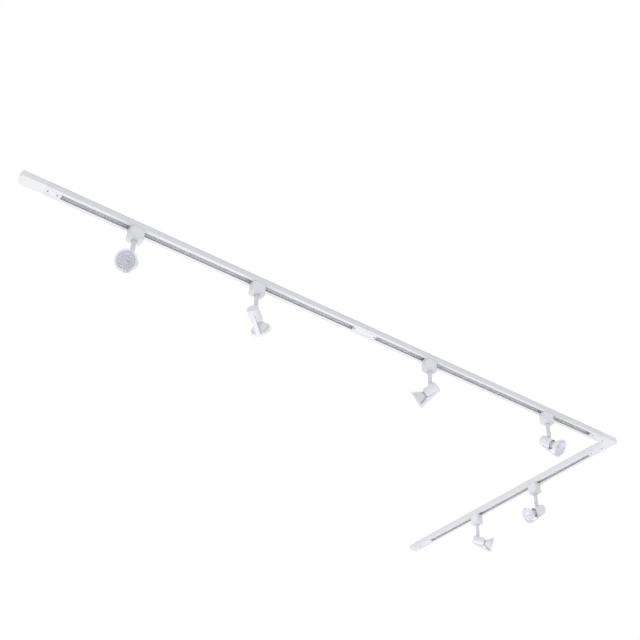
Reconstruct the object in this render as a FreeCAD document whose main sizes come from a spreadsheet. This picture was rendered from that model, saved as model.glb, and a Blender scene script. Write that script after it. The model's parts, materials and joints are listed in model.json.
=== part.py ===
"""L-shaped ceiling track with six GU10 spot heads.

Frame: +Z up, millimetres. The origin is on the ceiling plane, where the centre lines of the two
runs cross in the corner connector. The main run, two track lengths, goes along -X to the live end.
The short leg, one track length, goes along +Y to the dead end.
"""
import FreeCAD, Part
import math
import os
import Sketcher
from FreeCAD import Placement, Rotation, Vector

SIZES = (
    ("track_length", 1000, "one length of track"),
    ("track_width", 35, "track, outside"),
    ("track_height", 18, "track, ceiling to underside"),
    ("track_wall", 1.6, "aluminium wall"),
    ("slot_width", 15.6, "opening along the underside"),
    ("side_groove_top", 1.4, "decorative groove along each side, its upper edge"),
    ("side_groove_width", 1, "decorative groove along each side"),
    ("side_groove_depth", 0.7, "decorative groove along each side"),
    ("end_gap", 0.6, "track's far end to whatever follows it"),
    ("screw_inset", 100, "ceiling screw hole to the track's end"),
    ("ceiling_hole_radius", 2.25, "hole for a 4 mm ceiling screw"),
    ("strip_inner", 8.6, "insulator, inner face to centre line"),
    ("strip_bottom", 16.2, "insulator, lower face below the ceiling"),
    ("strip_top", 3, "insulator, upper face below the ceiling"),
    ("groove_floor", 11.2, "insulator groove, floor to centre line"),
    ("groove_bottom", 12.2, "insulator groove, lower side"),
    ("groove_top", 7, "insulator groove, upper side"),
    ("conductor_face", 9.8, "copper bar, inner face to centre line"),
    ("conductor_gap", 0.1, "copper bar to the groove's sides"),
    ("corner_arm", 62.5, "corner connector, centre line to the track's end"),
    ("corner_round", 4, "corner connector, outer corner"),
    ("live_end_length", 68, "live end beyond the track"),
    ("dead_end_length", 36, "dead end beyond the track"),
    ("end_bow_radius", 42, "bowed faces of the live end and dead end"),
    ("end_bow_rise", 3.6, "bulge of those faces past their corners"),
    ("live_tongue", 43, "live end, tongue inside the slot"),
    ("joint_tongue", 41, "straight connector, half its length"),
    ("corner_tongue", 38, "corner connector, tongue inside each slot"),
    ("dead_tongue", 86, "dead end, tongue inside the slot"),
    ("tongue_width", 14.8, "every tongue"),
    ("tongue_height", 12, "every tongue"),
    ("shell_wall", 2, "moulded housings"),
    ("cover_thickness", 2, "live end's cover plate"),
    ("cable_entry_radius", 7, "hole for the supply cable"),
    ("terminal_length", 24, "brass terminal"),
    ("terminal_side", 7, "brass terminal, section"),
    ("terminal_pitch", 9, "terminal to terminal"),
    ("terminal_bore", 1.6, "radius of the wire bore"),
    ("head_sink", 0.8, "connector screw head above the underside"),
    ("head_radius", 2.6, "connector screw head"),
    ("head_depth", 1.8, "connector screw head"),
    ("shank_radius", 1.5, "connector screw shank"),
    ("shank_length", 6, "connector screw shank"),
    ("screw_play", 0.15, "screw to its hole"),
    ("adapter_length", 43, "adapter along the track"),
    ("adapter_width", 33.6, "adapter across the track"),
    ("adapter_gap", 0.4, "track underside to the adapter"),
    ("adapter_height", 33.4, "adapter housing"),
    ("adapter_bow_radius", 66, "bowed end faces of the adapter"),
    ("adapter_round", 9, "adapter, vertical corners"),
    ("adapter_rim", 1.6, "adapter, rounding round its lower rim"),
    ("neck_length", 30, "adapter neck in the slot"),
    ("neck_width", 13.6, "adapter neck in the slot"),
    ("neck_height", 12.6, "adapter neck above the housing"),
    ("neck_wall", 1.5, "adapter neck"),
    ("window_length", 9, "neck window that a contact passes"),
    ("window_offset", 7.5, "window's middle to the adapter's middle"),
    ("contact_top", 8.4, "contact, upper face below the ceiling"),
    ("contact_height", 2.6, "contact"),
    ("contact_reach", 9.4, "contact tip to the centre line"),
    ("cap_inset", 1.9, "cap edge to the housing's outside"),
    ("cap_thickness", 3.4, "adapter cap"),
    ("cap_proud", 1, "adapter cap below the housing's rim"),
    ("collar_radius", 9.6, "collar round the stem"),
    ("collar_height", 3.2, "collar below the cap"),
    ("collar_recess", 2.2, "wider mouth of the collar, depth"),
    ("collar_mouth", 7.8, "wider mouth of the collar, radius"),
    ("stem_radius", 6.5, "stem, outside"),
    ("stem_bore", 3.6, "stem, wire passage radius"),
    ("pan_clearance", 0.08, "stem to the cap's bore, running fit"),
    ("flange_radius", 10, "stem's flange above the cap"),
    ("flange_height", 2, "stem's flange above the cap"),
    ("flange_gap", 0.4, "flange to the cap"),
    ("pivot_drop", 99.5, "tilt axis below the ceiling"),
    ("fork_radius", 6.3, "fork's rounded end about the tilt axis"),
    ("lug_thickness", 5, "cup's lug"),
    ("lug_radius", 5.4, "cup's lug about the tilt axis"),
    ("fork_gap", 0.3, "lug to each cheek of the fork"),
    ("trunnion_radius", 2, "tilt trunnion moulded on the lug"),
    ("trunnion_length", 12, "tilt trunnion, end to end"),
    ("tilt_clearance", 0.08, "trunnion to its hole, running fit"),
    ("cup_drop", 24, "cup's axis below the tilt axis"),
    ("cup_radius", 17.2, "cup, outside"),
    ("cup_wall", 2, "cup"),
    ("cup_back", 15, "cup's back end behind the tilt axis"),
    ("cup_length", 42, "cup"),
    ("cup_round", 5, "cup's rounded back edge"),
    ("arm_start", 9, "arm's root behind the tilt axis"),
    ("arm_end", 61.6, "arm's tip ahead of the tilt axis"),
    ("arm_tip_radius", 31.4, "arm's outer face at its tip, to the cup's axis"),
    ("arm_depth", 3, "arm ahead of the cup's mouth"),
    ("arm_root_width", 7, "arm at its root"),
    ("arm_tip_width", 14, "arm at its tip"),
    ("holder_play", 0.2, "lamp holder to the cup"),
    ("holder_front", 3, "holder's face behind the cup's mouth"),
    ("holder_length", 19, "lamp holder"),
    ("socket_radius", 12.4, "recess for the lamp's base"),
    ("socket_depth", 8, "recess for the lamp's base"),
    ("pin_pitch", 10, "GU10 contact pins, centre to centre"),
    ("pin_radius", 2.4, "GU10 pin head"),
    ("pin_length", 5, "GU10 pin"),
    ("pin_play", 0.2, "GU10 pin to its hole"),
    ("base_radius", 11.8, "lamp base"),
    ("base_length", 13, "lamp base"),
    ("lamp_radius", 25, "lamp, MR16 reflector"),
    ("lamp_front", 61, "lamp's front ahead of the tilt axis"),
    ("lamp_rim", 3.4, "lamp's cylindrical rim"),
    ("ring_radius", 30, "clear ring, outside"),
    ("ring_depth", 9, "clear ring along the lamp's axis"),
    ("ring_lip", 1, "clear ring ahead of the lamp's front"),
    ("ring_edge", 2, "clear ring's outer edge"),
    ("ring_play", 0.3, "clear ring to the lamp's rim, and to the arm"),
    ("bowl_radius", 23.4, "lamp's reflector at its front"),
    ("bowl_depth", 24, "lamp's reflector, front to back"),
    ("bowl_back", 4, "lamp's reflector, radius at its back"),
    ("bowl_bend", 32, "lamp's reflector, curvature"),
    ("bulb_bend", 34, "outside of the lamp, curvature"),
)

# Each head: its track, the adapter's place along that track from its near end, the lamp's bearing
# about +Z from +X, and the lamp's angle below the horizontal.
HEADS = (
    (1, "track_1", 253, -124, 36),
    (2, "track_1", 627, 37, 21),
    (3, "track_2", 248, 118, 23),
    (4, "track_2", 751, -67, 40),
    (5, "track_3", 310.5, 158, 28),
    (6, "track_3", 631.5, -33, 16),
)

doc = FreeCAD.newDocument("track_light")
sheet = doc.addObject("Spreadsheet::Sheet", "dim")


def fill_sheet():
    """One row a size: its note, its value and its alias."""
    rows = list(SIZES)
    for number_, track_name, along, bearing, tilt in HEADS:
        rows.append(("head_%d_along" % number_, along, "adapter along " + track_name))
        rows.append(("head_%d_bearing" % number_, bearing, "lamp's bearing, degrees"))
        rows.append(("head_%d_tilt" % number_, tilt, "lamp below the horizontal, degrees"))
    for row, (alias, value, note) in enumerate(rows, start=1):
        sheet.set("A%d" % row, note)
        sheet.set("B%d" % row, str(value))
        sheet.setAlias("B%d" % row, alias)
    doc.recompute()


def number(expression):
    """The value of an expression on the sheet."""
    return float(sheet.evalExpression(expression))


# ---- sketches and PartDesign features ------------------------------------------------------------

def new_body(label, placement=Placement()):
    body = doc.addObject("PartDesign::Body", label)
    body.Label = label
    body.Placement = placement
    return body


def new_sketch(body, plane, offset="0", rise="0"):
    """A sketch on one of the body's own origin planes.

    offset moves it along the plane's normal and rise along its own vertical axis.
    """
    sketch = body.newObject("Sketcher::SketchObject", "Sketch")
    support = [feature for feature in body.Origin.OriginFeatures if feature.Role == plane][0]
    sketch.AttachmentSupport = [(support, "")]
    sketch.MapMode = "FlatFace"
    sketch.setExpression("AttachmentOffset.Base.y", rise)
    sketch.setExpression("AttachmentOffset.Base.z", offset)
    return sketch


def bind(sketch, constraint, expression):
    index = sketch.addConstraint(constraint)
    sketch.setExpression("Constraints[%d]" % index, expression)


def pin_point(sketch, edge, end, x, y):
    """Holds an edge's end at two sheet expressions."""
    bind(sketch, Sketcher.Constraint("DistanceX", -1, 1, edge, end, number(x)), x)
    bind(sketch, Sketcher.Constraint("DistanceY", -1, 1, edge, end, number(y)), y)


def bowed_edge(start, end, radius):
    """An arc that bulges to the right of the way from start to end."""
    chord = end - start
    sagitta = radius - math.sqrt(radius ** 2 - (chord.Length / 2) ** 2)
    outward = Vector(chord.y, -chord.x, 0).normalize()
    return Part.Arc(start, (start + end) / 2 + outward * sagitta, end)


def outline(sketch, points, bows=None):
    """A closed outline of sheet expressions, anticlockwise. bows gives some edges a radius."""
    bows = bows or {}
    first = sketch.GeometryCount
    count = len(points)
    places = [Vector(number(x), number(y), 0) for x, y in points]
    for index in range(count):
        start, end = places[index], places[(index + 1) % count]
        if index in bows:
            sketch.addGeometry(bowed_edge(start, end, number(bows[index])), False)
        else:
            sketch.addGeometry(Part.LineSegment(start, end), False)
    for index, (x, y) in enumerate(points):
        edge = first + index
        previous = first + (index - 1) % count
        sketch.addConstraint(Sketcher.Constraint("Coincident", previous, 2, edge, 1))
        pin_point(sketch, edge, 1, x, y)
        if index in bows:
            radius = bows[index]
            bind(sketch, Sketcher.Constraint("Radius", edge, number(radius)), radius)


def circle(sketch, x, y, radius):
    centre = Vector(number(x), number(y), 0)
    edge = sketch.addGeometry(Part.Circle(centre, Vector(0, 0, 1), number(radius)), False)
    pin_point(sketch, edge, 3, x, y)
    bind(sketch, Sketcher.Constraint("Radius", edge, number(radius)), radius)


def rectangle(sketch, low_x, low_y, high_x, high_y):
    outline(sketch, ((low_x, low_y), (high_x, low_y), (high_x, high_y), (low_x, high_y)))


def feature(body, kind, sketch, length=None, reversed_=False, midplane=False):
    """A Pad or Pocket of a sketch. Without a length, a Pocket goes through everything."""
    made = body.newObject("PartDesign::" + kind, kind)
    made.Profile = sketch
    if length is None:
        made.Type = "ThroughAll"
    else:
        made.setExpression("Length", length)
    made.Reversed = reversed_
    made.Midplane = midplane
    return made


def revolution(body, sketch, kind="Revolution"):
    """Turns a sketch all the way round its own horizontal axis."""
    made = body.newObject("PartDesign::" + kind, kind)
    made.Profile = sketch
    made.ReferenceAxis = (sketch, ["H_Axis"])
    made.Angle = 360
    return made


def fillet(body, radius, wanted):
    """Rounds the edges of the body so far for which wanted(edge) is true."""
    base = body.Tip
    doc.recompute()
    names = ["Edge%d" % i for i, edge in enumerate(base.Shape.Edges, start=1) if wanted(edge)]
    made = body.newObject("PartDesign::Fillet", "Fillet")
    made.Base = (base, names)
    made.setExpression("Radius", radius)
    return made


def is_upright(edge):
    """True for a straight edge along Z."""
    ends = [vertex.Point for vertex in edge.Vertexes]
    return len(ends) == 2 and (ends[1] - ends[0]).cross(Vector(0, 0, 1)).Length < 1e-6


# ---- Part primitives -----------------------------------------------------------------------------

def place(piece, corner):
    for axis, expression in zip("xyz", corner):
        piece.setExpression("Placement.Base." + axis, expression)


def box(corner, size):
    piece = doc.addObject("Part::Box", "Box")
    for name, expression in zip(("Length", "Width", "Height"), size):
        piece.setExpression(name, expression)
    place(piece, corner)
    return piece


def cylinder(centre, radius, height):
    piece = doc.addObject("Part::Cylinder", "Cylinder")
    piece.setExpression("Radius", radius)
    piece.setExpression("Height", height)
    place(piece, centre)
    return piece


def cut(base, tool):
    made = doc.addObject("Part::Cut", "Cut")
    made.Base = base
    made.Tool = tool
    return made


def fuse(pieces):
    made = doc.addObject("Part::MultiFuse", "Fusion")
    made.Shapes = pieces
    return made


def group(label, pieces):
    """Separate solids that share one node."""
    made = doc.addObject("Part::Compound", label)
    made.Label = label
    made.Links = pieces
    return made


# ---- tracks --------------------------------------------------------------------------------------

def track_placements():
    """Where each track's near end lies. A track runs along its own +X, its top on the ceiling."""
    arm, length = number("dim.corner_arm"), number("dim.track_length")
    return {
        "track_1": Placement(Vector(-arm - 2 * length, 0, 0), Rotation()),
        "track_2": Placement(Vector(-arm - length, 0, 0), Rotation()),
        "track_3": Placement(Vector(0, arm, 0), Rotation(Vector(0, 0, 1), 90)),
    }


def make_track(label, placement):
    """C-shaped extrusion with a hole near each end for a ceiling screw."""
    body = new_body(label, placement)
    side, wall, mouth = "dim.track_width / 2", "dim.track_wall", "dim.slot_width / 2"
    inner = "(dim.track_width / 2 - dim.track_wall)"
    low, lip = "-dim.track_height", "-(dim.track_height - dim.track_wall)"
    profile = new_sketch(body, "YZ_Plane")
    high, deep = "-dim.side_groove_top", "(dim.track_width / 2 - dim.side_groove_depth)"
    bottom = high + " - dim.side_groove_width"
    outline(profile, (
        ("-" + side, low), ("-" + mouth, low), ("-" + mouth, lip), ("-" + inner, lip),
        ("-" + inner, "-" + wall), (inner, "-" + wall), (inner, lip), (mouth, lip),
        (mouth, low), (side, low), (side, bottom), (deep, bottom), (deep, high), (side, high),
        (side, "0"), ("-" + side, "0"), ("-" + side, high), ("-" + deep, high),
        ("-" + deep, bottom), ("-" + side, bottom),
    ))
    feature(body, "Pad", profile, "dim.track_length - dim.end_gap")
    holes = new_sketch(body, "XY_Plane")
    circle(holes, "dim.screw_inset", "0", "dim.ceiling_hole_radius")
    circle(holes, "dim.track_length - dim.screw_inset", "0", "dim.ceiling_hole_radius")
    feature(body, "Pocket", holes, "2 * dim.track_wall")


def strip_box(run, sign, low, high, bottom, top):
    """A bar along a whole track between two distances from its centre line, on one side."""
    near, far = (low, high) if sign > 0 else ("-" + high, "-" + low)
    width = "(%s) - (%s)" % (far, near)
    height = "%s - %s" % (bottom, top)
    if run == "track_3":
        return box(("-(%s)" % far, "dim.corner_arm", "-" + bottom), (width, "dim.track_length", height))
    start = {"track_1": "-dim.corner_arm - 2 * dim.track_length",
             "track_2": "-dim.corner_arm - dim.track_length"}[run]
    return box((start, near, "-" + bottom), ("dim.track_length", width, height))


def make_track_strips():
    """Two insulators a track, each with a groove, and the copper bar in each groove."""
    insulators, bars = [], []
    for run in ("track_1", "track_2", "track_3"):
        for sign in (1, -1):
            solid = strip_box(run, sign, "dim.strip_inner",
                              "(dim.track_width / 2 - dim.track_wall)",
                              "dim.strip_bottom", "dim.strip_top")
            groove = strip_box(run, sign, "(dim.strip_inner - 1)", "dim.groove_floor",
                               "dim.groove_bottom", "dim.groove_top")
            insulators.append(cut(solid, groove))
            bars.append(strip_box(run, sign, "dim.conductor_face", "dim.groove_floor",
                                  "(dim.groove_bottom - dim.conductor_gap)",
                                  "(dim.groove_top + dim.conductor_gap)"))
    group("track_insulators", insulators)
    group("track_conductors", bars)


# ---- connectors ----------------------------------------------------------------------------------

LIVE_START = "(-dim.corner_arm - 2 * dim.track_length)"
JOINT = "(-dim.corner_arm - dim.track_length)"
LEG_END = "(dim.corner_arm + dim.track_length)"


def screw_places():
    """Every connector screw, as sheet expressions."""
    return {
        "live_end": ((LIVE_START + " + 7", "0"), (LIVE_START + " + 33", "0")),
        "straight": ((JOINT + " - 36", "0"), (JOINT + " + 36", "0")),
        "corner": (("-dim.corner_arm - 25", "0"), ("-34", "5.5"), ("2.8", "41.5"),
                   ("0", "dim.corner_arm + 25")),
        "dead_end": (("0", LEG_END + " - 17"),),
    }


def sink_screws(body, which):
    """Counterbored holes for a connector's screws, from the underside."""
    for radius, depth in (("dim.head_radius", "dim.head_sink + dim.head_depth"),
                          ("dim.shank_radius",
                           "dim.head_sink + dim.head_depth + dim.shank_length")):
        holes = new_sketch(body, "XY_Plane", "-dim.track_height")
        for x, y in screw_places()[which]:
            circle(holes, x, y, radius + " + dim.screw_play")
        feature(body, "Pocket", holes, depth + " + dim.screw_play", reversed_=True)


def make_screws():
    """One screw to a hole: a slotted cheese head, sunk below the surface, and its shank."""
    screws = []
    for places in screw_places().values():
        for x, y in places:
            face = "-dim.track_height + dim.head_sink"
            head = cylinder((x, y, face), "dim.head_radius", "dim.head_depth")
            shank = cylinder((x, y, face), "dim.shank_radius", "dim.head_depth + dim.shank_length")
            slot = box((x + " - dim.head_radius", y + " - 0.4", face),
                       ("2 * dim.head_radius", "0.8", "0.8"))
            screws.append(cut(fuse([head, shank]), slot))
    group("connector_screws", screws)


def add_tongue(body, low_x, low_y, high_x, high_y):
    """A tongue that fills a slot, its lower face level with the track's underside."""
    tongue = new_sketch(body, "XY_Plane", "-dim.track_height")
    rectangle(tongue, low_x, low_y, high_x, high_y)
    feature(body, "Pad", tongue, "dim.tongue_height")


HALF_TRACK = "dim.track_width / 2"
HALF_TONGUE = "dim.tongue_width / 2"


def live_end_outline(sketch, inset):
    """The live end in plan, bowed at its outer end. inset moves every side inwards."""
    side = "(%s - %s)" % (HALF_TRACK, inset)
    near = LIVE_START + " - " + inset
    far = LIVE_START + " - dim.live_end_length + dim.end_bow_rise + " + inset
    outline(sketch, ((far, "-" + side), (near, "-" + side), (near, side), (far, side)),
            {3: "dim.end_bow_radius"})


def make_live_end():
    """Feed housing, open below, with its tongue; its cover plate; and three brass terminals."""
    body = new_body("live_end_housing")
    plan = new_sketch(body, "XY_Plane")
    live_end_outline(plan, "0")
    feature(body, "Pad", plan, "dim.track_height - dim.cover_thickness", reversed_=True)
    hollow = new_sketch(body, "XY_Plane", "-dim.shell_wall")
    live_end_outline(hollow, "dim.shell_wall")
    feature(body, "Pocket", hollow, "dim.track_height")
    add_tongue(body, LIVE_START, "-" + HALF_TONGUE, LIVE_START + " + dim.live_tongue", HALF_TONGUE)
    entry = new_sketch(body, "XY_Plane")
    circle(entry, LIVE_START + " - dim.live_end_length / 2", "0", "dim.cable_entry_radius")
    feature(body, "Pocket", entry, "2 * dim.shell_wall")
    sink_screws(body, "live_end")

    cover = new_body("live_end_cover")
    plate = new_sketch(cover, "XY_Plane", "-dim.track_height")
    live_end_outline(plate, "0")
    feature(cover, "Pad", plate, "dim.cover_thickness")

    terminals = []
    for index in (-1, 0, 1):
        middle = "%d * dim.terminal_pitch" % index
        block = box((LIVE_START + " - 8 - dim.terminal_length",
                     middle + " - dim.terminal_side / 2", "-dim.track_height + 4.4"),
                    ("dim.terminal_length", "dim.terminal_side", "dim.terminal_side"))
        bore = cylinder((LIVE_START + " - 9 - dim.terminal_length", middle,
                         "-dim.track_height + 4.4 + dim.terminal_side / 2"),
                        "dim.terminal_bore", "dim.terminal_length + 2")
        bore.Placement.Rotation = Rotation(Vector(0, 1, 0), 90)
        terminals.append(cut(block, bore))
    group("live_end_terminals", terminals)


def make_straight_connector():
    """Block that bridges the joint of the main run inside both slots."""
    body = new_body("straight_connector")
    add_tongue(body, JOINT + " - dim.joint_tongue", "-" + HALF_TONGUE,
               JOINT + " + dim.joint_tongue", HALF_TONGUE)
    sink_screws(body, "straight")


def make_corner_connector():
    """L-shaped housing with a tongue into each run. Each arm is hollow, open to the ceiling."""
    body = new_body("corner_connector")
    plan = new_sketch(body, "XY_Plane", "-dim.track_height")
    arm, side = "dim.corner_arm", HALF_TRACK
    outline(plan, (("-" + arm, "-" + side), (side, "-" + side), (side, arm),
                   ("-" + side, arm), ("-" + side, side), ("-" + arm, side)))
    feature(body, "Pad", plan, "dim.track_height")
    edge_x = number(side)
    fillet(body, "dim.corner_round", lambda edge: is_upright(edge)
           and (edge.Vertexes[0].Point - Vector(edge_x, -edge_x, edge.Vertexes[0].Z)).Length < 0.01)
    hollows = new_sketch(body, "XY_Plane")
    arm, side = "(dim.corner_arm - dim.shell_wall)", "(dim.track_width / 2 - dim.shell_wall)"
    rectangle(hollows, "-" + arm, "-" + side, "-" + HALF_TRACK, side)
    rectangle(hollows, "-" + side, HALF_TRACK, side, arm)
    feature(body, "Pocket", hollows, "dim.track_height - 6 * dim.shell_wall")
    add_tongue(body, "-dim.corner_arm - dim.corner_tongue", "-" + HALF_TONGUE,
               "-dim.corner_arm + dim.shell_wall", HALF_TONGUE)
    add_tongue(body, "-" + HALF_TONGUE, "dim.corner_arm - dim.shell_wall", HALF_TONGUE,
               "dim.corner_arm + dim.corner_tongue")
    sink_screws(body, "corner")


def make_dead_end():
    """End cap with a bowed face and a long tongue, which also holds the last screw."""
    body = new_body("dead_end")
    plan = new_sketch(body, "XY_Plane", "-dim.track_height")
    side, far = HALF_TRACK, LEG_END + " + dim.dead_end_length - dim.end_bow_rise"
    outline(plan, (("-" + side, LEG_END), (side, LEG_END), (side, far), ("-" + side, far)),
            {2: "dim.end_bow_radius"})
    feature(body, "Pad", plan, "dim.track_height")
    hollow = new_sketch(body, "XY_Plane")
    side = "(dim.track_width / 2 - dim.shell_wall)"
    rectangle(hollow, "-" + side, LEG_END + " + dim.shell_wall", side, far + " - dim.shell_wall")
    feature(body, "Pocket", hollow, "dim.track_height - 2 * dim.shell_wall")
    add_tongue(body, "-" + HALF_TONGUE, LEG_END + " - dim.dead_tongue", HALF_TONGUE,
               LEG_END + " + dim.shell_wall")
    sink_screws(body, "dead_end")


# ---- adapters ------------------------------------------------------------------------------------

ADAPTER_TOP = "(-dim.track_height - dim.adapter_gap)"
ADAPTER_RIM = "(-dim.track_height - dim.adapter_gap - dim.adapter_height)"
CAP_FACE = "(-dim.track_height - dim.adapter_gap - dim.adapter_height - dim.cap_proud)"


def adapter_outline(sketch, inset):
    """The adapter in plan: bowed ends run smoothly into round corners.

    inset moves the whole outline inwards, so every arc keeps its centre.
    """
    bow, bend = "(dim.adapter_bow_radius - %s)" % inset, "(dim.adapter_round - %s)" % inset
    side = "(dim.adapter_width / 2 - %s)" % inset
    between = "(dim.adapter_bow_radius - dim.adapter_round)"
    bow_x = "(dim.adapter_length / 2 - dim.adapter_bow_radius)"
    bend_y = "(dim.adapter_width / 2 - dim.adapter_round)"
    reach = "sqrt(%s ^ 2 - %s ^ 2)" % (between, bend_y)
    bend_x = "(%s + %s)" % (bow_x, reach)
    join_x = "(%s + %s * %s / %s)" % (bow_x, reach, bow, between)
    join_y = "(%s * %s / %s)" % (bend_y, bow, between)
    outline(sketch, (
        ("-" + bend_x, "-" + side), (bend_x, "-" + side), (join_x, "-" + join_y),
        (join_x, join_y), (bend_x, side), ("-" + bend_x, side),
        ("-" + join_x, join_y), ("-" + join_x, "-" + join_y),
    ), {1: bend, 2: bow, 3: bend, 5: bend, 6: bow, 7: bend})


def make_adapter_housing(label, placement):
    """Shell, open below, with a hollow neck that runs in the slot. Each contact has a window."""
    body = new_body(label, placement)
    plan = new_sketch(body, "XY_Plane", ADAPTER_TOP)
    adapter_outline(plan, "0")
    feature(body, "Pad", plan, "dim.adapter_height", reversed_=True)
    rim = number(ADAPTER_RIM)
    fillet(body, "dim.adapter_rim", lambda edge: abs(edge.BoundBox.ZMax - rim) < 0.01)
    hollow = new_sketch(body, "XY_Plane", ADAPTER_RIM)
    adapter_outline(hollow, "dim.cap_inset")
    feature(body, "Pocket", hollow, "dim.adapter_height - dim.shell_wall", reversed_=True)
    neck = new_sketch(body, "XY_Plane", ADAPTER_TOP)
    rectangle(neck, "-dim.neck_length / 2", "-dim.neck_width / 2",
              "dim.neck_length / 2", "dim.neck_width / 2")
    feature(body, "Pad", neck, "dim.neck_height")
    passage = new_sketch(body, "XY_Plane", ADAPTER_TOP + " - dim.shell_wall")
    rectangle(passage, "-dim.neck_length / 2 + dim.neck_wall",
              "-dim.neck_width / 2 + dim.neck_wall",
              "dim.neck_length / 2 - dim.neck_wall", "dim.neck_width / 2 - dim.neck_wall")
    feature(body, "Pocket", passage, "dim.neck_height + dim.shell_wall - dim.neck_wall",
            reversed_=True)
    window = new_sketch(body, "XZ_Plane")
    for sign in ("", "-"):
        middle = sign + "dim.window_offset"
        rectangle(window, middle + " - dim.window_length / 2",
                  "-dim.contact_top - dim.contact_height - dim.screw_play",
                  middle + " + dim.window_length / 2", "-dim.contact_top + dim.screw_play")
    feature(body, "Pocket", window, "2 * dim.neck_width", midplane=True)


def make_adapter_cap(label, placement):
    """Plate that closes the adapter, with the collar that the stem turns in."""
    body = new_body(label, placement)
    plan = new_sketch(body, "XY_Plane", CAP_FACE)
    adapter_outline(plan, "(dim.cap_inset + dim.screw_play)")
    feature(body, "Pad", plan, "dim.cap_thickness")
    collar = new_sketch(body, "XY_Plane", CAP_FACE)
    circle(collar, "0", "0", "dim.collar_radius")
    feature(body, "Pad", collar, "dim.collar_height", reversed_=True)
    low = number(CAP_FACE + " - dim.collar_height")
    fillet(body, "0.8", lambda edge: abs(edge.BoundBox.ZMax - low) < 0.01)
    bore = new_sketch(body, "XY_Plane", CAP_FACE + " + dim.cap_thickness")
    circle(bore, "0", "0", "dim.stem_radius + dim.pan_clearance")
    feature(body, "Pocket", bore)
    mouth = new_sketch(body, "XY_Plane", CAP_FACE + " - dim.collar_height")
    circle(mouth, "0", "0", "dim.collar_mouth")
    feature(body, "Pocket", mouth, "dim.collar_recess", reversed_=True)


def make_adapter_contacts(label, placement):
    """Line and neutral contacts: each has a finger into a groove and a tail down the neck."""
    contacts = []
    inner = "(dim.neck_width / 2 - dim.neck_wall - 1.4)"
    for sign in (1, -1):
        middle = "%d * dim.window_offset" % sign
        finger_y = inner if sign > 0 else "-dim.contact_reach"
        tail_y = inner if sign > 0 else "-%s - 0.8" % inner
        finger = box((middle + " - dim.window_length / 2 + dim.screw_play", finger_y,
                      "-dim.contact_top - dim.contact_height"),
                     ("dim.window_length - 2 * dim.screw_play",
                      "dim.contact_reach - " + inner, "dim.contact_height"))
        tail = box((middle + " - 2", tail_y, ADAPTER_TOP + " - 12"),
                   ("4", "0.8", "12 + dim.track_height + dim.adapter_gap - dim.contact_top"))
        contacts.append(fuse([finger, tail]))
    made = group(label, contacts)
    made.Placement = placement


# ---- stem and spot -------------------------------------------------------------------------------

def make_stem(label, placement):
    """Tube with a flange inside the adapter and a forked knuckle at its lower end.

    Its own frame has the origin on the tilt axis, X to the lamp's bearing and Y along the tilt axis.
    """
    body = new_body(label, placement)
    inside = "(dim.pivot_drop + %s + dim.cap_thickness)" % CAP_FACE
    top = "(%s + dim.flange_gap + dim.flange_height)" % inside
    tube = new_sketch(body, "XY_Plane")
    circle(tube, "0", "0", "dim.stem_radius")
    feature(body, "Pad", tube, top)
    flange = new_sketch(body, "XY_Plane", inside + " + dim.flange_gap")
    circle(flange, "0", "0", "dim.flange_radius")
    feature(body, "Pad", flange, "dim.flange_height")
    knuckle = new_sketch(body, "XZ_Plane")
    circle(knuckle, "0", "0", "dim.fork_radius")
    feature(body, "Pad", knuckle, "2 * dim.stem_radius", midplane=True)
    around = new_sketch(body, "XY_Plane", "dim.fork_radius + 1")
    circle(around, "0", "0", "dim.stem_radius")
    circle(around, "0", "0", "2 * dim.stem_radius")
    feature(body, "Pocket", around, "2 * dim.fork_radius + 2")
    bore = new_sketch(body, "XY_Plane", top)
    circle(bore, "0", "0", "dim.stem_bore")
    feature(body, "Pocket", bore, top + " - dim.lug_radius")
    slot = new_sketch(body, "YZ_Plane")
    cheek = "(dim.lug_thickness / 2 + dim.fork_gap)"
    rectangle(slot, "-" + cheek, "-dim.fork_radius - 1", cheek, "dim.lug_radius + 0.8")
    feature(body, "Pocket", slot, "4 * dim.stem_radius", midplane=True)
    pivot = new_sketch(body, "XZ_Plane")
    circle(pivot, "0", "0", "dim.trunnion_radius + dim.tilt_clearance")
    feature(body, "Pocket", pivot, "2 * dim.trunnion_length", midplane=True)


# The parts of a spot share one frame: the origin on the tilt axis, X along the lamp's aim and Y
# along the tilt axis. The cup's own axis runs along X, cup_drop below.
CUP_AXIS = "-dim.cup_drop"
CUP_MOUTH = "(dim.cup_length - dim.cup_back)"
HOLDER_FACE = "(dim.cup_length - dim.cup_back - dim.holder_front)"
LAMP_BACK = "(dim.cup_length - dim.cup_back - dim.holder_front - dim.socket_depth + dim.ring_play)"
RING_FRONT = "(dim.lamp_front + dim.ring_lip)"


def arm_radius(x):
    """The arm's outer face to the cup's axis, at a distance ahead of the tilt axis."""
    rise = "(dim.arm_tip_radius - dim.cup_radius) / (dim.arm_start + dim.arm_end)"
    return "(dim.cup_radius + (%s + dim.arm_start) * %s)" % (x, rise)


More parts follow.
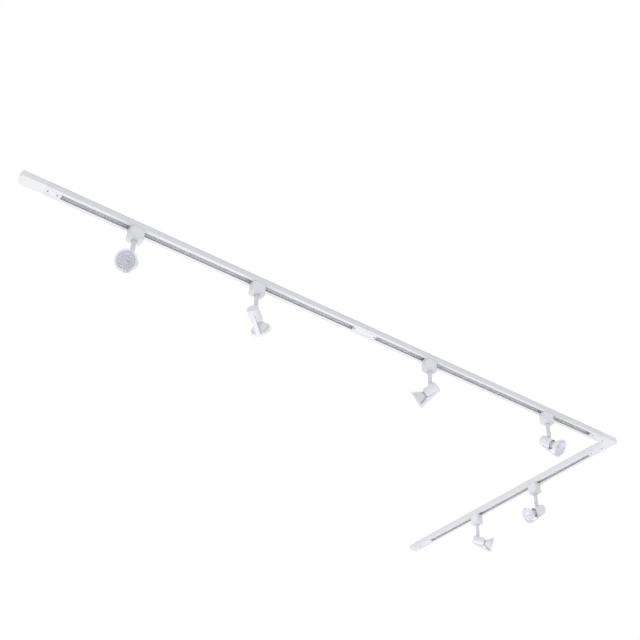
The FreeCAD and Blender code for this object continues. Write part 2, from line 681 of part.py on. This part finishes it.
def add_arm(body):
    """Wedge from the cup's underside to a thin tip that widens under the clear ring."""
    side = new_sketch(body, "XZ_Plane", rise=CUP_AXIS)
    root, seat = "-dim.cup_radius + 1", "-dim.ring_radius - dim.ring_play"
    ring_back = "(%s - dim.ring_depth)" % RING_FRONT
    outline(side, (
        ("-dim.arm_start", root), ("-dim.arm_start", "-dim.cup_radius"),
        ("dim.arm_end", "-dim.arm_tip_radius"), ("dim.arm_end", seat),
        (RING_FRONT + " - dim.ring_edge", seat), (ring_back, "-" + arm_radius(ring_back) + " + 2"),
        (CUP_MOUTH, "-" + arm_radius(CUP_MOUTH) + " + dim.arm_depth"), (CUP_MOUTH, root),
    ))
    feature(body, "Pad", side, "dim.arm_tip_width", midplane=True)
    flanks = new_sketch(body, "XY_Plane")
    root, tip, far = "dim.arm_root_width / 2", "dim.arm_tip_width / 2", "dim.arm_tip_width"
    outline(flanks, (("-dim.arm_start", root), ("dim.arm_end", tip), ("dim.arm_end", far),
                     ("-dim.arm_start", far)))
    outline(flanks, (("-dim.arm_start", "-" + far), ("dim.arm_end", "-" + far),
                     ("dim.arm_end", "-" + tip), ("-dim.arm_start", "-" + root)))
    feature(body, "Pocket", flanks, "4 * dim.ring_radius", midplane=True)


def cup_outline(sketch, inset, front):
    """Half the cup's section, its back edge rounded. inset moves its back and side inwards."""
    back, side = "(%s - dim.cup_back)" % inset, "(dim.cup_radius - %s)" % inset
    bend = "(dim.cup_round - %s)" % inset
    outline(sketch, ((back, "0"), (front, "0"), (front, side), (back + " + " + bend, side),
                     (back, side + " - " + bend)), {3: bend})


def make_cup(label, placement):
    """Cup, open in front, with the arm below and above it a lug with its two trunnions."""
    body = new_body(label, placement)
    add_arm(body)
    outside = new_sketch(body, "XZ_Plane", rise=CUP_AXIS)
    cup_outline(outside, "0", CUP_MOUTH)
    revolution(body, outside)
    lug = new_sketch(body, "XZ_Plane")
    circle(lug, "0", "0", "dim.lug_radius")
    feature(body, "Pad", lug, "dim.lug_thickness", midplane=True)
    web = new_sketch(body, "XZ_Plane")
    rectangle(web, "-dim.lug_radius", "-dim.cup_drop + dim.cup_radius - dim.cup_wall",
              "dim.lug_radius", "0")
    feature(body, "Pad", web, "dim.lug_thickness", midplane=True)
    trunnions = new_sketch(body, "XZ_Plane")
    circle(trunnions, "0", "0", "dim.trunnion_radius")
    feature(body, "Pad", trunnions, "dim.trunnion_length", midplane=True)
    inside = new_sketch(body, "XZ_Plane", rise=CUP_AXIS)
    cup_outline(inside, "dim.cup_wall", CUP_MOUTH + " + 1")
    revolution(body, inside, "Groove")


def pin_circles(sketch, radius):
    for sign in ("-", ""):
        circle(sketch, sign + "dim.pin_pitch / 2", CUP_AXIS, radius)


def make_lamp_holder(label, placement):
    """Ceramic disc in the cup, with a recess for the lamp's base and two pin holes."""
    body = new_body(label, placement)
    disc = new_sketch(body, "YZ_Plane", HOLDER_FACE)
    circle(disc, "0", CUP_AXIS, "dim.cup_radius - dim.cup_wall - dim.holder_play")
    feature(body, "Pad", disc, "dim.holder_length", reversed_=True)
    socket = new_sketch(body, "YZ_Plane", HOLDER_FACE)
    circle(socket, "0", CUP_AXIS, "dim.socket_radius")
    feature(body, "Pocket", socket, "dim.socket_depth")
    pins = new_sketch(body, "YZ_Plane", HOLDER_FACE + " - dim.socket_depth")
    pin_circles(pins, "dim.pin_radius + dim.pin_play")
    feature(body, "Pocket", pins, "dim.pin_length + 1")


def make_lamp(label, placement):
    """GU10 lamp: base, flared bulb, rim, reflector bowl and two pins."""
    body = new_body(label, placement)
    outside = new_sketch(body, "XZ_Plane", rise=CUP_AXIS)
    neck = LAMP_BACK + " + dim.base_length"
    rim_back = "dim.lamp_front - dim.lamp_rim"
    outline(outside, ((LAMP_BACK, "0"), ("dim.lamp_front", "0"),
                      ("dim.lamp_front", "dim.lamp_radius"), (rim_back, "dim.lamp_radius"),
                      (neck, "dim.base_radius"), (LAMP_BACK, "dim.base_radius")),
            {3: "dim.bulb_bend"})
    revolution(body, outside)
    bowl = new_sketch(body, "XZ_Plane", rise=CUP_AXIS)
    deep = "dim.lamp_front - dim.bowl_depth"
    outline(bowl, ((deep, "0"), ("dim.lamp_front + 1", "0"), ("dim.lamp_front + 1", "dim.bowl_radius"),
                   ("dim.lamp_front", "dim.bowl_radius"), (deep, "dim.bowl_back")),
            {3: "dim.bowl_bend"})
    revolution(body, bowl, "Groove")
    pins = new_sketch(body, "YZ_Plane", LAMP_BACK)
    pin_circles(pins, "dim.pin_radius")
    feature(body, "Pad", pins, "dim.pin_length", reversed_=True)


def make_lamp_ring(label, placement):
    """Clear saucer round the lamp's rim, its back on the arm's tip."""
    body = new_body(label, placement)
    section = new_sketch(body, "XZ_Plane", rise=CUP_AXIS)
    bore = "dim.lamp_radius + dim.ring_play"
    back, edge = RING_FRONT + " - dim.ring_depth", "dim.ring_radius - dim.ring_edge"
    outline(section, ((back, bore), (RING_FRONT + " - dim.lamp_rim", bore), (RING_FRONT, edge),
                      (RING_FRONT, "dim.ring_radius"),
                      (RING_FRONT + " - dim.ring_edge", "dim.ring_radius"),
                      (back, bore + " + dim.ring_edge")))
    revolution(body, section)


def make_head(index, track):
    """One adapter on its track, with its stem and spot at their bearing and tilt."""
    head = "dim.head_%d_" % index
    seat = track.multiply(Placement(Vector(number(head + "along"), 0, 0), Rotation()))
    make_adapter_housing("adapter_housing_%d" % index, seat)
    make_adapter_cap("adapter_cover_%d" % index, seat)
    make_adapter_contacts("adapter_contacts_%d" % index, seat)
    pivot = seat.Base - Vector(0, 0, number("dim.pivot_drop"))
    bearing = Rotation(Vector(0, 0, 1), number(head + "bearing"))
    aim = bearing.multiply(Rotation(Vector(0, 1, 0), number(head + "tilt")))
    make_stem("stem_%d" % index, Placement(pivot, bearing))
    spot = Placement(pivot, aim)
    make_cup("lamp_cup_%d" % index, spot)
    make_lamp_holder("lamp_holder_%d" % index, spot)
    make_lamp("lamp_%d" % index, spot)
    make_lamp_ring("lamp_ring_%d" % index, spot)


# ---- build and export ----------------------------------------------------------------------------

def node_names():
    names = ["track_1", "track_2", "track_3", "track_insulators", "track_conductors",
             "live_end_housing", "live_end_cover", "live_end_terminals", "straight_connector",
             "corner_connector", "dead_end", "connector_screws"]
    for index, *_ in HEADS:
        names += ["%s_%d" % (stem, index) for stem in (
            "adapter_housing", "adapter_cover", "adapter_contacts", "stem",
            "lamp_cup", "lamp_holder", "lamp", "lamp_ring")]
    return names


def check_document():
    """Stops on any feature in error and on any part that is empty or not valid."""
    for item in doc.Objects:
        if "Invalid" in item.State or "Error" in item.State:
            raise RuntimeError("%s is in error: %s" % (item.Label, item.State))
    for name in node_names():
        shape = doc.getObjectsByLabel(name)[0].Shape
        if shape.isNull() or not shape.isValid():
            raise RuntimeError("%s is empty or not valid" % name)


def export_parts():
    os.makedirs("parts", exist_ok=True)
    for name in node_names():
        doc.getObjectsByLabel(name)[0].Shape.exportStep("parts/%s.step" % name)


fill_sheet()
placements = track_placements()
for name, placement in placements.items():
    make_track(name, placement)
make_track_strips()
make_live_end()
make_straight_connector()
make_corner_connector()
make_dead_end()
make_screws()
for index, track_name, *_ in HEADS:
    make_head(index, placements[track_name])
doc.recompute()
check_document()
export_parts()
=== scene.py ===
"""Looks for an L-shaped ceiling track with six spot heads.

The CAD nodes stay as they are and get better materials. Each lamp is rebuilt as a faceted
reflector with its base, pins, front glass and capsule.
"""

import json
import math

import bmesh
import bpy
from mathutils import Matrix, Vector


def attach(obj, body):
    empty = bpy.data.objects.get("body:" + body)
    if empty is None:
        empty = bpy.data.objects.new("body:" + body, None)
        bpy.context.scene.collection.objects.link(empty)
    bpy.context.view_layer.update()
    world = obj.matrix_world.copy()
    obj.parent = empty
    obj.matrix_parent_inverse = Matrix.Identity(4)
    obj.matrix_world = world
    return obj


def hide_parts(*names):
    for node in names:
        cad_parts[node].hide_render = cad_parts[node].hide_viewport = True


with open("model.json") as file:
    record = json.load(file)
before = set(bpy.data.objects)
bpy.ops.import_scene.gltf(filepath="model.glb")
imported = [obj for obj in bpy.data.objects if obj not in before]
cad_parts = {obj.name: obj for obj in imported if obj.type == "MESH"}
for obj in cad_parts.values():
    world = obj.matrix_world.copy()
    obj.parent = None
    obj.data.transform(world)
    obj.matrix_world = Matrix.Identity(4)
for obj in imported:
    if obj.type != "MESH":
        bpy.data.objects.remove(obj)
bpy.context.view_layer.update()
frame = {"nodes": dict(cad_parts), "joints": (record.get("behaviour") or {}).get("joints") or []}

# Camera: below the track, looking up along it.
CAMERA_PLACE = Vector((-2.3385, -1.725, -1.689))
CAMERA_YAW, CAMERA_PITCH, CAMERA_ROLL = math.radians(57.10), math.radians(38.71), math.radians(1.93)
SENSOR_WIDTH = 36.0
LENS = 51.075
FLOOR_Z = -2.4
FLOOR_HALF = 30.0
SOFTBOX_PLACE, SOFTBOX_TARGET = (-1.1, 0.5, -2.3), (-0.9, 0.3, 0.0)
SOFTBOX_SIZE, SOFTBOX_POWER = 2.6, 38.0

# Spot frame, metres: origin on the tilt axis, +X along the lamp's aim, +Z towards the stem.
CUP_DROP = 0.024
LAMP_BACK = 0.0163
LAMP_FRONT = 0.061
LAMP_RADIUS = 0.025
RIM_BACK = 0.0577
GLASS_RADIUS = 0.0234
SHELL_MOUTH = 0.0574
BOWL_BACK, BOWL_MOUTH = 0.0375, LAMP_FRONT - 0.0009
BOWL_BACK_RADIUS, BOWL_MOUTH_RADIUS = 0.0062, 0.0232
BOWL_CURVE = 0.62
FACET_ROWS, FACET_COLUMNS = 9, 30
FACET_RISE = 0.00022
FACET_CROWDING = 0.85
COIL_X, COIL_RADIUS, COIL_HALF = 0.0490, 0.0009, 0.0026
COIL_TURNS, COIL_STEPS = 7, 12
ROUND = 72

# Painted shade on the insulators: below this height in the world they are painted dark, standing in
# for the shadow the slot's lips cast.
LIP_SHADE_EDGE = -0.0137
LIP_SHADE_BLUR = 0.0004
LIP_SHADE_COLOUR = (0.14, 0.14, 0.145, 1.0)


# ---- materials -----------------------------------------------------------------------------------

def new_material(name, colour, roughness, metallic=0.0):
    material = bpy.data.materials.new(name)
    material.use_nodes = True
    shader = material.node_tree.nodes["Principled BSDF"]
    shader.inputs["Base Color"].default_value = (*colour, 1.0)
    shader.inputs["Roughness"].default_value = roughness
    shader.inputs["Metallic"].default_value = metallic
    return material, shader


def add_noise(material, scale, detail=3.0, stretch=(1.0, 1.0, 1.0)):
    """Noise in the object's own coordinates, so it stays on the surface in every pose."""
    tree = material.node_tree
    place = tree.nodes.new("ShaderNodeTexCoord")
    mapping = tree.nodes.new("ShaderNodeMapping")
    mapping.inputs["Scale"].default_value = stretch
    noise = tree.nodes.new("ShaderNodeTexNoise")
    noise.inputs["Scale"].default_value = scale
    noise.inputs["Detail"].default_value = detail
    tree.links.new(place.outputs["Object"], mapping.inputs["Vector"])
    tree.links.new(mapping.outputs["Vector"], noise.inputs["Vector"])
    return noise


def vary_colour(material, shader, noise, low, high):
    ramp = material.node_tree.nodes.new("ShaderNodeValToRGB")
    ramp.color_ramp.elements[0].position = 0.35
    ramp.color_ramp.elements[0].color = (*low, 1.0)
    ramp.color_ramp.elements[1].position = 0.65
    ramp.color_ramp.elements[1].color = (*high, 1.0)
    material.node_tree.links.new(noise.outputs["Fac"], ramp.inputs["Fac"])
    material.node_tree.links.new(ramp.outputs["Color"], shader.inputs["Base Color"])


def vary_roughness(material, shader, noise, low, high):
    reach = material.node_tree.nodes.new("ShaderNodeMapRange")
    reach.inputs["To Min"].default_value = low
    reach.inputs["To Max"].default_value = high
    material.node_tree.links.new(noise.outputs["Fac"], reach.inputs["Value"])
    material.node_tree.links.new(reach.outputs["Result"], shader.inputs["Roughness"])


def add_bump(material, shader, noise, depth):
    bump = material.node_tree.nodes.new("ShaderNodeBump")
    bump.inputs["Strength"].default_value = 0.5
    bump.inputs["Distance"].default_value = depth
    material.node_tree.links.new(noise.outputs["Fac"], bump.inputs["Height"])
    material.node_tree.links.new(bump.outputs["Normal"], shader.inputs["Normal"])


def coated(name, colour, spread, roughness, grain, depth, coat=0.0):
    """Painted or moulded white: a fine surface grain, faint tone changes and uneven gloss."""
    material, shader = new_material(name, colour, roughness)
    shader.inputs["Coat Weight"].default_value = coat
    shader.inputs["Coat Roughness"].default_value = 0.25
    low = tuple(max(0.0, c - spread) for c in colour)
    vary_colour(material, shader, add_noise(material, 22.0), low, colour)
    vary_roughness(material, shader, add_noise(material, 60.0), roughness - 0.06, roughness + 0.06)
    add_bump(material, shader, add_noise(material, grain, 2.0), depth)
    return material


def paint_lip_shade(material):
    """Paints shade on the insulators' lower edge, where the slot's lips would keep the light off. It
    is paint by height, not a modelled feature.
    """
    tree = material.node_tree
    base = tree.nodes["Principled BSDF"].inputs["Base Color"]
    place = tree.nodes.new("ShaderNodeTexCoord")
    split = tree.nodes.new("ShaderNodeSeparateXYZ")
    tree.links.new(place.outputs["Object"], split.inputs["Vector"])
    reach = tree.nodes.new("ShaderNodeMapRange")
    reach.inputs["From Min"].default_value = LIP_SHADE_EDGE - LIP_SHADE_BLUR
    reach.inputs["From Max"].default_value = LIP_SHADE_EDGE + LIP_SHADE_BLUR
    tree.links.new(split.outputs["Z"], reach.inputs["Value"])
    # Below the edge height the painted shade colour replaces the insulator's own colour.
    shade_mix = tree.nodes.new("ShaderNodeMixRGB")
    shade_mix.inputs["Color1"].default_value = LIP_SHADE_COLOUR
    tree.links.new(reach.outputs["Result"], shade_mix.inputs["Fac"])
    tree.links.new(base.links[0].from_socket, shade_mix.inputs["Color2"])
    tree.links.new(shade_mix.outputs["Color"], base)
    return material


def metal(name, colour, roughness, stretch=(1.0, 1.0, 1.0), metallic=1.0):
    """Bare metal: fine grain, duller patches and uneven gloss."""
    material, shader = new_material(name, colour, roughness, metallic)
    noise = add_noise(material, 900.0, 4.0, stretch)
    vary_roughness(material, shader, noise, roughness - 0.08, roughness + 0.10)
    dull = tuple(c * 0.88 for c in colour)
    vary_colour(material, shader, add_noise(material, 120.0), dull, colour)
    add_bump(material, shader, noise, 0.00002)
    return material


def clear(name, colour, alpha, edge, roughness):
    """Clear glass or plastic: light goes straight through, and gloss and edges show."""
    material, shader = new_material(name, colour, roughness)
    tree = material.node_tree
    facing = tree.nodes.new("ShaderNodeLayerWeight")
    facing.inputs["Blend"].default_value = 0.35
    reach = tree.nodes.new("ShaderNodeMapRange")
    reach.inputs["To Min"].default_value = alpha
    reach.inputs["To Max"].default_value = edge
    tree.links.new(facing.outputs["Facing"], reach.inputs["Value"])
    tree.links.new(reach.outputs["Result"], shader.inputs["Alpha"])
    vary_roughness(material, shader, add_noise(material, 300.0), roughness, roughness + 0.04)
    return material


def make_materials():
    return {
        "track": coated("track_powder_coat", (0.700, 0.708, 0.748), 0.012, 0.42, 900.0, 0.00001),
        "moulding": coated("white_moulding", (0.735, 0.742, 0.778), 0.012, 0.38, 700.0, 0.00001, 0.1),
        "stem": coated("stem_moulding", (0.66, 0.665, 0.71), 0.012, 0.34, 700.0, 0.00001, 0.15),
        "cup": coated("lamp_moulding", (0.715, 0.72, 0.775), 0.012, 0.32, 700.0, 0.00001, 0.2),
        # The insulators get painted shade on their lower edge.
        "insulator": paint_lip_shade(
            coated("insulator_strip_painted_shade", (0.95, 0.95, 0.96), 0.02, 0.5, 700.0, 0.00002)),
        "holder": coated("holder_ceramic", (0.030, 0.030, 0.034), 0.008, 0.38, 600.0, 0.00002, 0.2),
        "base": coated("lamp_base_ceramic", (0.74, 0.74, 0.73), 0.03, 0.42, 700.0, 0.00002, 0.15),
        "shell": coated("aluminised_glass", (0.71, 0.715, 0.77), 0.03, 0.22, 500.0, 0.00001, 0.5),
        "tinned": metal("tinned_bar", (0.88, 0.87, 0.86), 0.40, (1.0, 1.0, 6.0), 0.4),
        "brass": metal("terminal_brass", (0.78, 0.61, 0.30), 0.28),
        "zinc": metal("zinc_screw", (0.42, 0.42, 0.44), 0.34),
        "reflector": metal("silvered_facets", (0.95, 0.95, 0.99), 0.12, metallic=0.5),
        "pin": metal("nickel_pin", (0.76, 0.75, 0.72), 0.22),
        "tungsten": metal("tungsten_coil", (0.30, 0.28, 0.26), 0.35),
        "rim_glass": clear("lamp_rim_glass", (0.84, 0.85, 0.89), 0.86, 0.97, 0.08),
        "cover_glass": clear("lamp_front_glass", (0.88, 0.90, 0.99), 0.16, 0.50, 0.04),
        "capsule_glass": clear("capsule_glass", (0.72, 0.75, 0.77), 0.12, 0.75, 0.04),
        "ring": clear("clear_ring", (0.88, 0.89, 0.93), 0.42, 0.95, 0.06),
    }


NODE_MATERIALS = (
    ("track_insulators", "insulator"), ("track_conductors", "tinned"), ("track_", "track"),
    ("live_end_terminals", "brass"), ("live_end_", "moulding"), ("straight_connector", "moulding"),
    ("corner_connector", "moulding"), ("dead_end", "moulding"), ("connector_screws", "zinc"),
    ("adapter_contacts_", "tinned"), ("adapter_", "moulding"), ("stem_", "stem"),
    ("lamp_cup_", "cup"), ("lamp_holder_", "holder"), ("lamp_ring_", "ring"), ("lamp_", "base"),
)


def dress_nodes(materials):
    """Gives every CAD node the first material whose prefix its name starts with."""
    for name, node in frame["nodes"].items():
        key = next(key for prefix, key in NODE_MATERIALS if name.startswith(prefix))
        for slot in node.material_slots:
            slot.material = materials[key]


# ---- meshes --------------------------------------------------------------------------------------

def add_object(name, builder, placement, materials, smooth=True):
    """A mesh object whose place is in its mesh, as a CAD node's is."""
    mesh = bpy.data.meshes.new(name)
    builder.transform(placement)
    builder.normal_update()
    builder.to_mesh(mesh)
    builder.free()
    for material in materials:
        mesh.materials.append(material)
    for polygon in mesh.polygons:
        polygon.use_smooth = smooth
    piece = bpy.data.objects.new(name, mesh)
    bpy.context.scene.collection.objects.link(piece)
    return piece


def lathe(builder, profile, columns=ROUND, centre=(0.0, -CUP_DROP)):
    """Turns (x, radius) points round a line along X. A radius of 0 closes that end."""
    rings = []
    for x, radius in profile:
        if radius == 0.0:
            rings.append([builder.verts.new((x, centre[0], centre[1]))])
            continue
        ring = []
        for column in range(columns):
            angle = 2 * math.pi * column / columns
            ring.append(builder.verts.new((x, centre[0] + radius * math.cos(angle),
                                           centre[1] + radius * math.sin(angle))))
        rings.append(ring)
    for near, far in zip(rings, rings[1:]):
        for column in range(columns):
            following = (column + 1) % columns
            corners = [near[column % len(near)], near[following % len(near)],
                       far[following % len(far)], far[column % len(far)]]
            unique = list(dict.fromkeys(corners))
            if len(unique) > 2:
                builder.faces.new(unique)


def sweep(builder, points, radius, sides):
    """Round tube along points, capped at both ends."""
    rings = []
    for index, point in enumerate(points):
        ahead = points[min(index + 1, len(points) - 1)] - points[max(index - 1, 0)]
        across = ahead.cross(Vector((0.31, 0.87, 0.39))).normalized()
        up = across.cross(ahead).normalized()
        ring = []
        for side in range(sides):
            angle = 2 * math.pi * side / sides
            offset = (across * math.cos(angle) + up * math.sin(angle)) * radius
            ring.append(builder.verts.new(point + offset))
        rings.append(ring)
    for near, far in zip(rings, rings[1:]):
        for side in range(sides):
            following = (side + 1) % sides
            builder.faces.new((near[side], near[following], far[following], far[side]))
    builder.faces.new(rings[0][::-1])
    builder.faces.new(rings[-1])


def face_out(builder):
    bmesh.ops.recalc_face_normals(builder, faces=builder.faces)


# ---- lamp ----------------------------------------------------------------------------------------

def bowl_radius(x):
    """Inside of the reflector: steep at the neck and nearly straight at the rim."""
    share = (x - BOWL_BACK) / (BOWL_MOUTH - BOWL_BACK)
    spread = BOWL_MOUTH_RADIUS - BOWL_BACK_RADIUS
    return BOWL_BACK_RADIUS + spread * max(share, 0.0) ** BOWL_CURVE


def make_shell(number, placement, materials):
    """Silvered body of the lamp: neck and flare outside, bowl inside."""
    builder = bmesh.new()
    outside = [(0.0293, 0.0), (0.0293, 0.0114), (0.0330, 0.0124), (0.0370, 0.0150),
               (0.0420, 0.0184), (0.0480, 0.0215), (0.0540, 0.0236), (SHELL_MOUTH, 0.0243),
               (0.0576, 0.0243), (0.0576, 0.0236)]
    steps = 8
    inside = []
    for step in range(steps):
        x = SHELL_MOUTH - (SHELL_MOUTH - BOWL_BACK) * step / (steps - 1)
        inside.append((x, bowl_radius(x) + 0.0005))
    lathe(builder, outside + inside + [(0.0372, 0.0)])
    face_out(builder)
    piece = add_object("lamp_body_%d" % number, builder, placement, [materials["shell"]])
    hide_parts("lamp_%d" % number)
    return piece


def make_rim(number, placement, materials):
    """Thick glass rim round the mouth, its edges rounded."""
    builder = bmesh.new()
    lathe(builder, [(RIM_BACK, 0.0236), (RIM_BACK, 0.0247), (0.0580, LAMP_RADIUS),
                    (LAMP_FRONT - 0.0005, LAMP_RADIUS), (LAMP_FRONT, LAMP_RADIUS - 0.0005),
                    (LAMP_FRONT, 0.0239), (LAMP_FRONT - 0.0003, 0.0236)])
    bmesh.ops.bridge_loops(builder, edges=[edge for edge in builder.edges if edge.is_boundary])
    face_out(builder)
    return add_object("lamp_rim_%d" % number, builder, placement, [materials["rim_glass"]])


def facet_rings(builder, front, back):
    """Corners of the dimples, in rings from the mouth to the back."""
    rings = []
    for row in range(FACET_ROWS + 1):
        x = front - (front - back) * (row / FACET_ROWS) ** FACET_CROWDING
        radius = bowl_radius(x)
        ring = []
        for column in range(FACET_COLUMNS):
            angle = 2 * math.pi * column / FACET_COLUMNS
            ring.append(builder.verts.new((x, radius * math.cos(angle),
                                           -CUP_DROP + radius * math.sin(angle))))
        rings.append(ring)
    return rings


def add_dimple(builder, corners, aim):
    """A shallow pyramid on four corners, its tip raised towards aim."""
    middle = sum((corner.co for corner in corners), Vector()) / 4
    tip = builder.verts.new(middle + (aim - middle).normalized() * FACET_RISE)
    for start, end in zip(corners, corners[1:] + corners[:1]):
        builder.faces.new((start, end, tip))


def add_lip(builder, ring, front):
    """A narrow band round the mouth, which meets the rim."""
    lip = []
    for corner in ring:
        out = Vector((front, 0.0, -CUP_DROP))
        out += (corner.co - out).normalized() * (bowl_radius(front) + 0.0002)
        lip.append(builder.verts.new(out))
    for column in range(FACET_COLUMNS):
        following = (column + 1) % FACET_COLUMNS
        builder.faces.new((ring[column], lip[column], lip[following], ring[following]))


def make_reflector(number, placement, materials):
    """Silvered lining: rows of dimples, each a shallow four-sided pyramid, and a plain back."""
    builder = bmesh.new()
    front, back = LAMP_FRONT - 0.0014, BOWL_BACK + 0.0003
    rings = facet_rings(builder, front, back)
    aim = Vector((LAMP_FRONT, 0.0, -CUP_DROP))
    for near, far in zip(rings, rings[1:]):
        for column in range(FACET_COLUMNS):
            following = (column + 1) % FACET_COLUMNS
            add_dimple(builder, [near[column], near[following], far[following], far[column]], aim)
    floor = builder.verts.new((back - 0.0001, 0.0, -CUP_DROP))
    for column in range(FACET_COLUMNS):
        builder.faces.new((rings[-1][column], rings[-1][(column + 1) % FACET_COLUMNS], floor))
    add_lip(builder, rings[0], front)
    face_out(builder)
    return add_object("lamp_reflector_%d" % number, builder, placement,
                      [materials["reflector"]], smooth=False)


def make_base(number, placement, materials):
    """Ceramic base with a shallow groove round it, seated in the holder."""
    builder = bmesh.new()
    lathe(builder, [(LAMP_BACK, 0.0), (LAMP_BACK, 0.0108), (LAMP_BACK + 0.0008, 0.0116),
                    (0.0215, 0.0116), (0.0219, 0.0112), (0.0233, 0.0112), (0.0237, 0.0116),
                    (0.0284, 0.0116), (0.0291, 0.0110), (0.0291, 0.0)])
    face_out(builder)
    return add_object("lamp_base_%d" % number, builder, placement, [materials["base"]])


def make_pins(number, placement, materials):
    """Two headed contact pins."""
    builder = bmesh.new()
    for side in (-1, 1):
        lathe(builder, [(LAMP_BACK + 0.0004, 0.0), (LAMP_BACK + 0.0004, 0.0015),
                        (LAMP_BACK - 0.0026, 0.0015), (LAMP_BACK - 0.0029, 0.0023),
                        (LAMP_BACK - 0.0046, 0.0023), (LAMP_BACK - 0.0050, 0.0018),
                        (LAMP_BACK - 0.0050, 0.0)], 24, (side * 0.005, -CUP_DROP))
    face_out(builder)
    return add_object("lamp_pins_%d" % number, builder, placement, [materials["pin"]])


def make_cover_glass(number, placement, materials):
    """Thin cover glass, slightly domed, seated in the rim."""
    builder = bmesh.new()
    front, back = [], []
    for share in (1.0, 0.8, 0.6, 0.4, 0.2, 0.0):
        dome = 0.0006 * (1.0 - share ** 2)
        front.append((LAMP_FRONT - 0.0008 + dome, GLASS_RADIUS * share))
        back.append((LAMP_FRONT - 0.0012 + dome, GLASS_RADIUS * share))
    lathe(builder, front[::-1] + back)
    face_out(builder)
    return add_object("lamp_cover_glass_%d" % number, builder, placement, [materials["cover_glass"]])


def make_capsule(number, placement, materials):
    """Glass of the burner: seal, tube and tip."""
    builder = bmesh.new()
    lathe(builder, [(0.0380, 0.0), (0.0380, 0.0030), (0.0425, 0.0032), (0.0440, 0.0044),
                    (0.0520, 0.0044), (0.0545, 0.0034), (0.0556, 0.0014), (0.0566, 0.0007),
                    (0.0568, 0.0)], 32)
    face_out(builder)
    return add_object("lamp_capsule_%d" % number, builder, placement,
                      [materials["capsule_glass"]])


def make_coil(number, placement, materials):
    """Filament across the burner, with its two lead wires."""
    builder = bmesh.new()
    points = []
    for step in range(COIL_TURNS * COIL_STEPS + 1):
        angle = 2 * math.pi * step / COIL_STEPS
        along = -COIL_HALF + 2 * COIL_HALF * step / (COIL_TURNS * COIL_STEPS)
        points.append(Vector((COIL_X + COIL_RADIUS * math.cos(angle), along,
                              -CUP_DROP + COIL_RADIUS * math.sin(angle))))
    sweep(builder, points, 0.00018, 6)
    for side in (-1, 1):
        sweep(builder, [Vector((0.0395, side * 0.0014, -CUP_DROP)),
                        Vector((0.0440, side * 0.0016, -CUP_DROP)),
                        Vector((COIL_X, side * 0.0027, -CUP_DROP))], 0.00025, 6)
    face_out(builder)
    return add_object("lamp_coil_%d" % number, builder, placement, [materials["tungsten"]])


def make_lamp(joint, materials):
    """Every piece of one lamp, in the spot's own frame at rest."""
    number = int(joint["name"].split("_")[1])
    hinge = Vector(joint["axis"])
    bearing = Vector((hinge.y, -hinge.x, 0.0))
    tilt = math.radians(-joint["range_deg"][0])
    aim = bearing * math.cos(tilt) - Vector((0.0, 0.0, math.sin(tilt)))
    top = aim.cross(hinge)
    placement = Matrix((aim, hinge, top)).transposed().to_4x4()
    placement.translation = Vector(joint["pos_m"])
    makers = (make_shell, make_rim, make_reflector, make_base, make_pins, make_cover_glass,
              make_capsule, make_coil)
    for piece in [make(number, placement, materials) for make in makers]:
        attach(piece, "spot_%d" % number)


# ---- studio --------------------------------------------------------------------------------------

def make_floor():
    builder = bmesh.new()
    bmesh.ops.create_grid(builder, x_segments=1, y_segments=1, size=FLOOR_HALF)
    material, shader = new_material("studio_floor", (0.82, 0.82, 0.82), 0.7)
    vary_colour(material, shader, add_noise(material, 0.8), (0.80, 0.80, 0.80), (0.83, 0.83, 0.83))
    floor = add_object("studio_floor", builder, Matrix.Translation((0.0, 0.0, FLOOR_Z)), [material])


def add_light(name, place, target, size, power):
    data = bpy.data.lights.new(name, "AREA")
    data.shape = "SQUARE"
    data.size = size
    data.energy = power
    light = bpy.data.objects.new(name, data)
    light.location = place
    light.rotation_mode = "QUATERNION"
    light.rotation_quaternion = (Vector(target) - Vector(place)).to_track_quat("-Z", "Y")
    bpy.context.scene.collection.objects.link(light)


def make_studio():
    make_floor()
    world = bpy.data.worlds.new("studio")
    world.use_nodes = True
    world.node_tree.nodes["Background"].inputs["Color"].default_value = (1.0, 1.0, 1.0, 1.0)
    world.node_tree.nodes["Background"].inputs["Strength"].default_value = 1.0
    bpy.context.scene.world = world
    bpy.context.scene.view_settings.view_transform = "Standard"
    add_light("low_softbox", SOFTBOX_PLACE, SOFTBOX_TARGET, SOFTBOX_SIZE, SOFTBOX_POWER)


def make_camera():
    forward = Vector((math.cos(CAMERA_PITCH) * math.cos(CAMERA_YAW),
                      math.cos(CAMERA_PITCH) * math.sin(CAMERA_YAW), math.sin(CAMERA_PITCH)))
    level = forward.cross(Vector((0.0, 0.0, 1.0))).normalized()
    upright = level.cross(forward)
    right = level * math.cos(CAMERA_ROLL) + upright * math.sin(CAMERA_ROLL)
    up = upright * math.cos(CAMERA_ROLL) - level * math.sin(CAMERA_ROLL)
    data = bpy.data.cameras.new("camera")
    data.sensor_width = SENSOR_WIDTH
    data.lens = LENS
    data.clip_start, data.clip_end = 0.05, 100.0
    camera = bpy.data.objects.new("camera", data)
    bpy.context.scene.collection.objects.link(camera)
    camera.matrix_world = Matrix.Translation(CAMERA_PLACE) @ Matrix(
        (right, up, -forward)).transposed().to_4x4()
    bpy.context.scene.camera = camera


materials = make_materials()
dress_nodes(materials)
for joint in frame["joints"]:
    if joint["name"].startswith("tilt_"):
        make_lamp(joint, materials)
make_studio()
make_camera()
bpy.context.view_layer.update()
